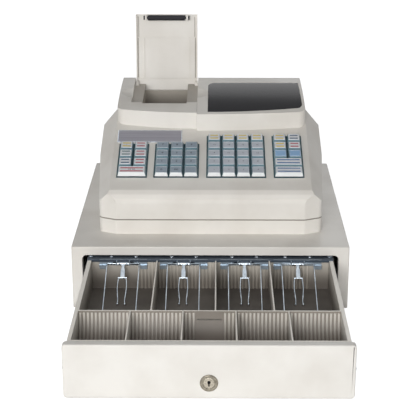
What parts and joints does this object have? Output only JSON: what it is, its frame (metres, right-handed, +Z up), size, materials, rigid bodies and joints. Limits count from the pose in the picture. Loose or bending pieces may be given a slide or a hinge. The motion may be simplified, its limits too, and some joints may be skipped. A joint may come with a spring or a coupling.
{
  "type": "ticket register",
  "caption": "Electronic ticket register with keyboard, display and lidded ticket printer, standing on a steel cash drawer that slides open over a coin and banknote tray.",
  "frame": {"origin": "on the counter, under the middle of the bounding box with the drawer and the lid open", "axes": "+X to the right as the cashier sees it, +Y away from the cashier, +Z up"},
  "size_m": [0.41, 0.7148, 0.371],
  "materials": {
    "case_paint": "fine semi-matt enamel",
    "case_plastic": "fine spark-eroded texture",
    "foot_rubber": "matt",
    "zinc_steel": "zinc plated",
    "bare_steel": "turned",
    "white_nylon": "smooth",
    "nickel": "satin nickel",
    "tray_plastic": "moulded",
    "dark_zinc": "dark plated",
    "bright_zinc": "bright zinc plate",
    "panel_plastic": "moulded",
    "circuit_board": "solder mask",
    "frame_plastic": "moulded",
    "brushed_plate": "brushed",
    "smoked_window": "polished, smoked",
    "motor_steel": "satin",
    "black_plastic": "moulded",
    "platen_rubber": "ground",
    "number_key": "moulded cap with a tinted top",
    "goods_key": "moulded cap with a grey top",
    "function_key": "moulded cap with coloured bars"
  },
  "bodies": {
    "root": {"cabinet_shell": "case_paint", "cabinet_base": "case_paint", "rubber_feet": "foot_rubber", "cabinet_rails": "zinc_steel", "latch_frame": "zinc_steel", "kick_spring": "bare_steel", "register_base": "case_plastic", "register_cover": "case_plastic", "rear_panel": "panel_plastic", "case_screws": "bare_steel", "power_supply": "zinc_steel", "main_board": "circuit_board", "keyboard_board": "circuit_board", "keyboard_frame": "frame_plastic", "name_plate": "brushed_plate", "printer_housing": "case_plastic", "display_housing": "case_plastic", "display_window": "smoked_window", "display_module": "circuit_board", "paper_bucket": "tray_plastic", "print_head": "zinc_steel", "feed_motor": "motor_steel"},
    "drawer": {"drawer_pan": "zinc_steel", "drawer_front": "case_plastic", "drawer_rails": "zinc_steel", "lock_barrel": "nickel", "money_tray": "tray_plastic", "coin_dividers": "tray_plastic", "bill_dividers": "tray_plastic", "clip_bar": "dark_zinc", "clip_brackets": "bright_zinc"},
    "lid": {"printer_lid": "case_plastic", "lid_bushings": "white_nylon"},
    "platen": {"platen_shaft": "black_plastic", "platen_roller": "platen_rubber"},
    "front_rollers": {"front_rollers": "white_nylon"},
    "rear_rollers": {"rear_rollers": "white_nylon"},
    "lock_plug": {"lock_plug": "nickel"},
    "latch_lever": {"latch_lever": "zinc_steel"},
    "solenoid_plunger": {"solenoid_plunger": "bare_steel"},
    "bill_clip_1": {"bill_clip_1": "bright_zinc"},
    "bill_clip_2": {"bill_clip_2": "bright_zinc"},
    "bill_clip_3": {"bill_clip_3": "bright_zinc"},
    "bill_clip_4": {"bill_clip_4": "bright_zinc"},
    "motor_pinion": {"motor_pinion": "white_nylon"},
    "feed_gear": {"feed_gear": "white_nylon"},
    "keys_left_1": {"keys_left_1": "function_key"},
    "keys_left_2": {"keys_left_2": "function_key"},
    "key_left_wide": {"key_left_wide": "function_key"},
    "keys_number_1": {"keys_number_1": "number_key"},
    "keys_number_2": {"keys_number_2": "number_key"},
    "keys_number_3": {"keys_number_3": "number_key"},
    "keys_goods_1": {"keys_goods_1": "goods_key"},
    "keys_goods_2": {"keys_goods_2": "goods_key"},
    "keys_goods_3": {"keys_goods_3": "goods_key"},
    "keys_goods_4": {"keys_goods_4": "goods_key"},
    "keys_right_1": {"keys_right_1": "function_key"},
    "keys_right_2": {"keys_right_2": "function_key"},
    "key_total": {"key_total": "function_key"},
    "key_subtotal": {"key_subtotal": "function_key"}
  },
  "joints": [
    {"name": "drawer_slide", "type": "slide", "parent": "root", "child": "drawer", "axis": [0, -1, 0], "range_m": [-0.298, 0]},
    {"name": "front_roller_spin", "type": "hinge", "parent": "root", "child": "front_rollers", "pos_m": [0, -0.0336, 0.0334], "axis": [1, 0, 0], "range_deg": [-1830, 30]},
    {"name": "rear_roller_spin", "type": "hinge", "parent": "drawer", "child": "rear_rollers", "pos_m": [0, 0.0044, 0.031], "axis": [1, 0, 0], "range_deg": [-1830, 30]},
    {"name": "lock_turn", "type": "hinge", "parent": "drawer", "child": "lock_plug", "pos_m": [0, -0.3556, 0.033], "axis": [0, -1, 0], "range_deg": [0, 90]},
    {"name": "latch_pivot", "type": "hinge", "parent": "root", "child": "latch_lever", "pos_m": [-0.012, 0.3324, 0.014], "axis": [0, 0, -1], "range_deg": [0, 20.2]},
    {"name": "plunger_pull", "type": "slide", "parent": "root", "child": "solenoid_plunger", "axis": [1, 0, 0], "range_m": [0, 0.00342], "stiffness_N_per_m": 30, "springref_m": -0.004},
    {"name": "lid_hinge", "type": "hinge", "parent": "root", "child": "lid", "pos_m": [-0.0766, 0.3264, 0.252], "axis": [-1, 0, 0], "range_deg": [-100, 0]},
    {"name": "platen_spin", "type": "hinge", "parent": "lid", "child": "platen", "pos_m": [-0.0766, 0.33929, 0.36518], "axis": [1, 0, 0], "continuous": true},
    {"name": "feed_gear_spin", "type": "hinge", "parent": "root", "child": "feed_gear", "pos_m": [-0.1185, 0.2127, 0.23094], "axis": [1, 0, 0], "continuous": true},
    {"name": "pinion_spin", "type": "hinge", "parent": "root", "child": "motor_pinion", "pos_m": [-0.1185, 0.2127, 0.21789], "axis": [1, 0, 0], "continuous": true},
    {"name": "bill_clip_1_lift", "type": "hinge", "parent": "drawer", "child": "bill_clip_1", "pos_m": [-0.1276, -0.0705, 0.0805], "axis": [-1, 0, 0], "range_deg": [0, 95], "stiffness_Nm_per_rad": 0.02, "springref_deg": -17.19},
    {"name": "bill_clip_2_lift", "type": "hinge", "parent": "drawer", "child": "bill_clip_2", "pos_m": [-0.039, -0.0705, 0.0805], "axis": [-1, 0, 0], "range_deg": [0, 95], "stiffness_Nm_per_rad": 0.02, "springref_deg": -17.19},
    {"name": "bill_clip_3_lift", "type": "hinge", "parent": "drawer", "child": "bill_clip_3", "pos_m": [0.05, -0.0705, 0.0805], "axis": [-1, 0, 0], "range_deg": [0, 95], "stiffness_Nm_per_rad": 0.02, "springref_deg": -17.19},
    {"name": "bill_clip_4_lift", "type": "hinge", "parent": "drawer", "child": "bill_clip_4", "pos_m": [0.128, -0.0705, 0.0805], "axis": [-1, 0, 0], "range_deg": [0, 95], "stiffness_Nm_per_rad": 0.02, "springref_deg": -17.19},
    {"name": "keys_left_1_press", "type": "slide", "parent": "root", "child": "keys_left_1", "axis": [0, 0.309, -0.9511], "range_m": [0, 0.0035], "stiffness_N_per_m": 250, "springref_m": -0.002},
    {"name": "keys_left_2_press", "type": "slide", "parent": "root", "child": "keys_left_2", "axis": [0, 0.309, -0.9511], "range_m": [0, 0.0035], "stiffness_N_per_m": 250, "springref_m": -0.002},
    {"name": "key_left_wide_press", "type": "slide", "parent": "root", "child": "key_left_wide", "axis": [0, 0.309, -0.9511], "range_m": [0, 0.0035], "stiffness_N_per_m": 250, "springref_m": -0.002},
    {"name": "keys_number_1_press", "type": "slide", "parent": "root", "child": "keys_number_1", "axis": [0, 0.309, -0.9511], "range_m": [0, 0.0035], "stiffness_N_per_m": 250, "springref_m": -0.002},
    {"name": "keys_number_2_press", "type": "slide", "parent": "root", "child": "keys_number_2", "axis": [0, 0.309, -0.9511], "range_m": [0, 0.0035], "stiffness_N_per_m": 250, "springref_m": -0.002},
    {"name": "keys_number_3_press", "type": "slide", "parent": "root", "child": "keys_number_3", "axis": [0, 0.309, -0.9511], "range_m": [0, 0.0035], "stiffness_N_per_m": 250, "springref_m": -0.002},
    {"name": "keys_goods_1_press", "type": "slide", "parent": "root", "child": "keys_goods_1", "axis": [0, 0.309, -0.9511], "range_m": [0, 0.0035], "stiffness_N_per_m": 250, "springref_m": -0.002},
    {"name": "keys_goods_2_press", "type": "slide", "parent": "root", "child": "keys_goods_2", "axis": [0, 0.309, -0.9511], "range_m": [0, 0.0035], "stiffness_N_per_m": 250, "springref_m": -0.002},
    {"name": "keys_goods_3_press", "type": "slide", "parent": "root", "child": "keys_goods_3", "axis": [0, 0.309, -0.9511], "range_m": [0, 0.0035], "stiffness_N_per_m": 250, "springref_m": -0.002},
    {"name": "keys_goods_4_press", "type": "slide", "parent": "root", "child": "keys_goods_4", "axis": [0, 0.309, -0.9511], "range_m": [0, 0.0035], "stiffness_N_per_m": 250, "springref_m": -0.002},
    {"name": "keys_right_1_press", "type": "slide", "parent": "root", "child": "keys_right_1", "axis": [0, 0.309, -0.9511], "range_m": [0, 0.0035], "stiffness_N_per_m": 250, "springref_m": -0.002},
    {"name": "keys_right_2_press", "type": "slide", "parent": "root", "child": "keys_right_2", "axis": [0, 0.309, -0.9511], "range_m": [0, 0.0035], "stiffness_N_per_m": 250, "springref_m": -0.002},
    {"name": "key_total_press", "type": "slide", "parent": "root", "child": "key_total", "axis": [0, 0.309, -0.9511], "range_m": [0, 0.0035], "stiffness_N_per_m": 250, "springref_m": -0.002},
    {"name": "key_subtotal_press", "type": "slide", "parent": "root", "child": "key_subtotal", "axis": [0, 0.309, -0.9511], "range_m": [0, 0.0035], "stiffness_N_per_m": 250, "springref_m": -0.002}
  ],
  "couplings": [
    {"joint": "front_roller_spin", "follows": "drawer_slide", "rad_per_m": 105.26},
    {"joint": "rear_roller_spin", "follows": "drawer_slide", "rad_per_m": 105.26},
    {"joint": "latch_pivot", "follows": "plunger_pull", "rad_per_m": 102.04},
    {"joint": "pinion_spin", "follows": "feed_gear_spin", "ratio": -3.3333}
  ]
}
